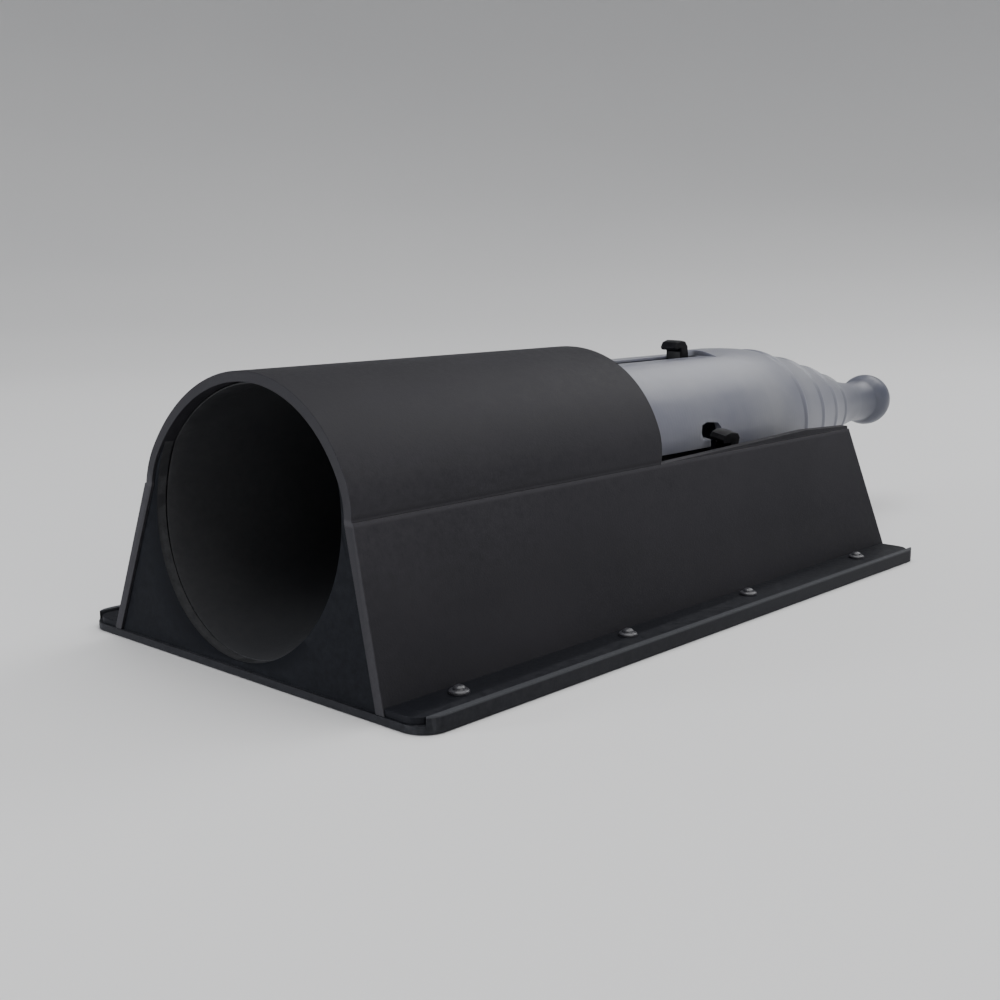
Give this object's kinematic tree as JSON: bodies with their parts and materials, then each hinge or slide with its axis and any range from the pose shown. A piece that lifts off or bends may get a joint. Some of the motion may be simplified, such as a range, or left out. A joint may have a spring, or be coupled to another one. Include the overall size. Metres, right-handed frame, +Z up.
{
  "type": "tunnel mouse trap",
  "caption": "Tunnel mouse trap with a round entrance, a half roof, ring fingers, a treadle trigger and a removable cone for loading elastic rings.",
  "frame": {"origin": "on the ground, under the middle of the trap's box", "axes": "+Z up, +Y from the entrance towards the loading cone's tip, +X to the right of someone who looks into the entrance"},
  "size_m": [0.0702, 0.1754, 0.0393],
  "materials": {
    "housing_plastic": "fine moulded texture, charcoal black",
    "base_plastic": "smooth satin, charcoal",
    "front_plastic": "satin, blue black",
    "carrier_plastic": "satin black",
    "cam_plastic": "natural, slightly glossy",
    "finger_plastic": "glossy black",
    "cone_plastic": "milky translucent, waxy",
    "bait_plastic": "ivory, satin",
    "pin_plastic": "smooth grey black",
    "steel": "drawn wire"
  },
  "bodies": {
    "housing": {"base_plate": "base_plastic", "housing_cover": "housing_plastic", "front_plate": "front_plastic", "entrance_funnel": "front_plastic", "barrel_bulkhead": "carrier_plastic", "ring_barrel": "carrier_plastic", "cam_retainer": "carrier_plastic", "pedal_pin": "steel", "pedal_spring": "steel", "finger_pin_top": "steel", "finger_pin_bottom": "steel", "finger_pin_right": "steel", "finger_pin_left": "steel", "cover_pin_left_1": "pin_plastic", "cover_pin_left_2": "pin_plastic", "cover_pin_left_3": "pin_plastic", "cover_pin_left_4": "pin_plastic", "cover_pin_right_1": "pin_plastic", "cover_pin_right_2": "pin_plastic", "cover_pin_right_3": "pin_plastic", "cover_pin_right_4": "pin_plastic"},
    "release_cam": {"release_cam": "cam_plastic"},
    "pedal": {"trigger_pedal": "carrier_plastic"},
    "bait_cup": {"bait_cup": "bait_plastic"},
    "loading_cone": {"loading_cone": "cone_plastic"},
    "finger_top": {"ring_finger_top": "finger_plastic"},
    "finger_bottom": {"ring_finger_bottom": "finger_plastic"},
    "finger_right": {"ring_finger_right": "finger_plastic"},
    "finger_left": {"ring_finger_left": "finger_plastic"}
  },
  "joints": [
    {"name": "pedal_tilt", "type": "hinge", "parent": "housing", "child": "pedal", "pos_m": [0, 0.0123, 0.0044], "axis": [-1, 0, 0], "range_deg": [0, 6], "stiffness_Nm_per_rad": 0.05, "springref_deg": -8.59, "deforming": ["pedal_spring"]},
    {"name": "cam_turn", "type": "hinge", "parent": "housing", "child": "release_cam", "pos_m": [0, -0.0326, 0.0228], "axis": [0, -1, 0], "range_deg": [0, 20]},
    {"name": "finger_top_swing", "type": "hinge", "parent": "housing", "child": "finger_top", "pos_m": [0, -0.0297, 0.0346], "axis": [-1, 0, 0], "range_deg": [0, 7]},
    {"name": "finger_bottom_swing", "type": "hinge", "parent": "housing", "child": "finger_bottom", "pos_m": [0, -0.0297, 0.011], "axis": [1, 0, 0], "range_deg": [0, 13]},
    {"name": "finger_right_swing", "type": "hinge", "parent": "housing", "child": "finger_right", "pos_m": [0.01154, -0.0297, 0.02035], "axis": [0.2079, 0, 0.9781], "range_deg": [0, 10]},
    {"name": "finger_left_swing", "type": "hinge", "parent": "housing", "child": "finger_left", "pos_m": [-0.01154, -0.0297, 0.02035], "axis": [0.2079, 0, -0.9781], "range_deg": [0, 10]},
    {"name": "cone_slide", "type": "slide", "parent": "housing", "child": "loading_cone", "axis": [0, 1, 0], "range_m": [0, 0.07]},
    {"name": "bait_cup_slide", "type": "slide", "parent": "pedal", "child": "bait_cup", "axis": [0, 1, 0], "range_m": [0, 0.025]}
  ],
  "couplings": [
    {"joint": "cam_turn", "follows": "pedal_tilt", "ratio": 3.3333},
    {"joint": "finger_top_swing", "follows": "pedal_tilt", "ratio": 1.1666},
    {"joint": "finger_bottom_swing", "follows": "pedal_tilt", "ratio": 2.1666},
    {"joint": "finger_right_swing", "follows": "pedal_tilt", "ratio": 1.6666},
    {"joint": "finger_left_swing", "follows": "pedal_tilt", "ratio": 1.6666}
  ]
}
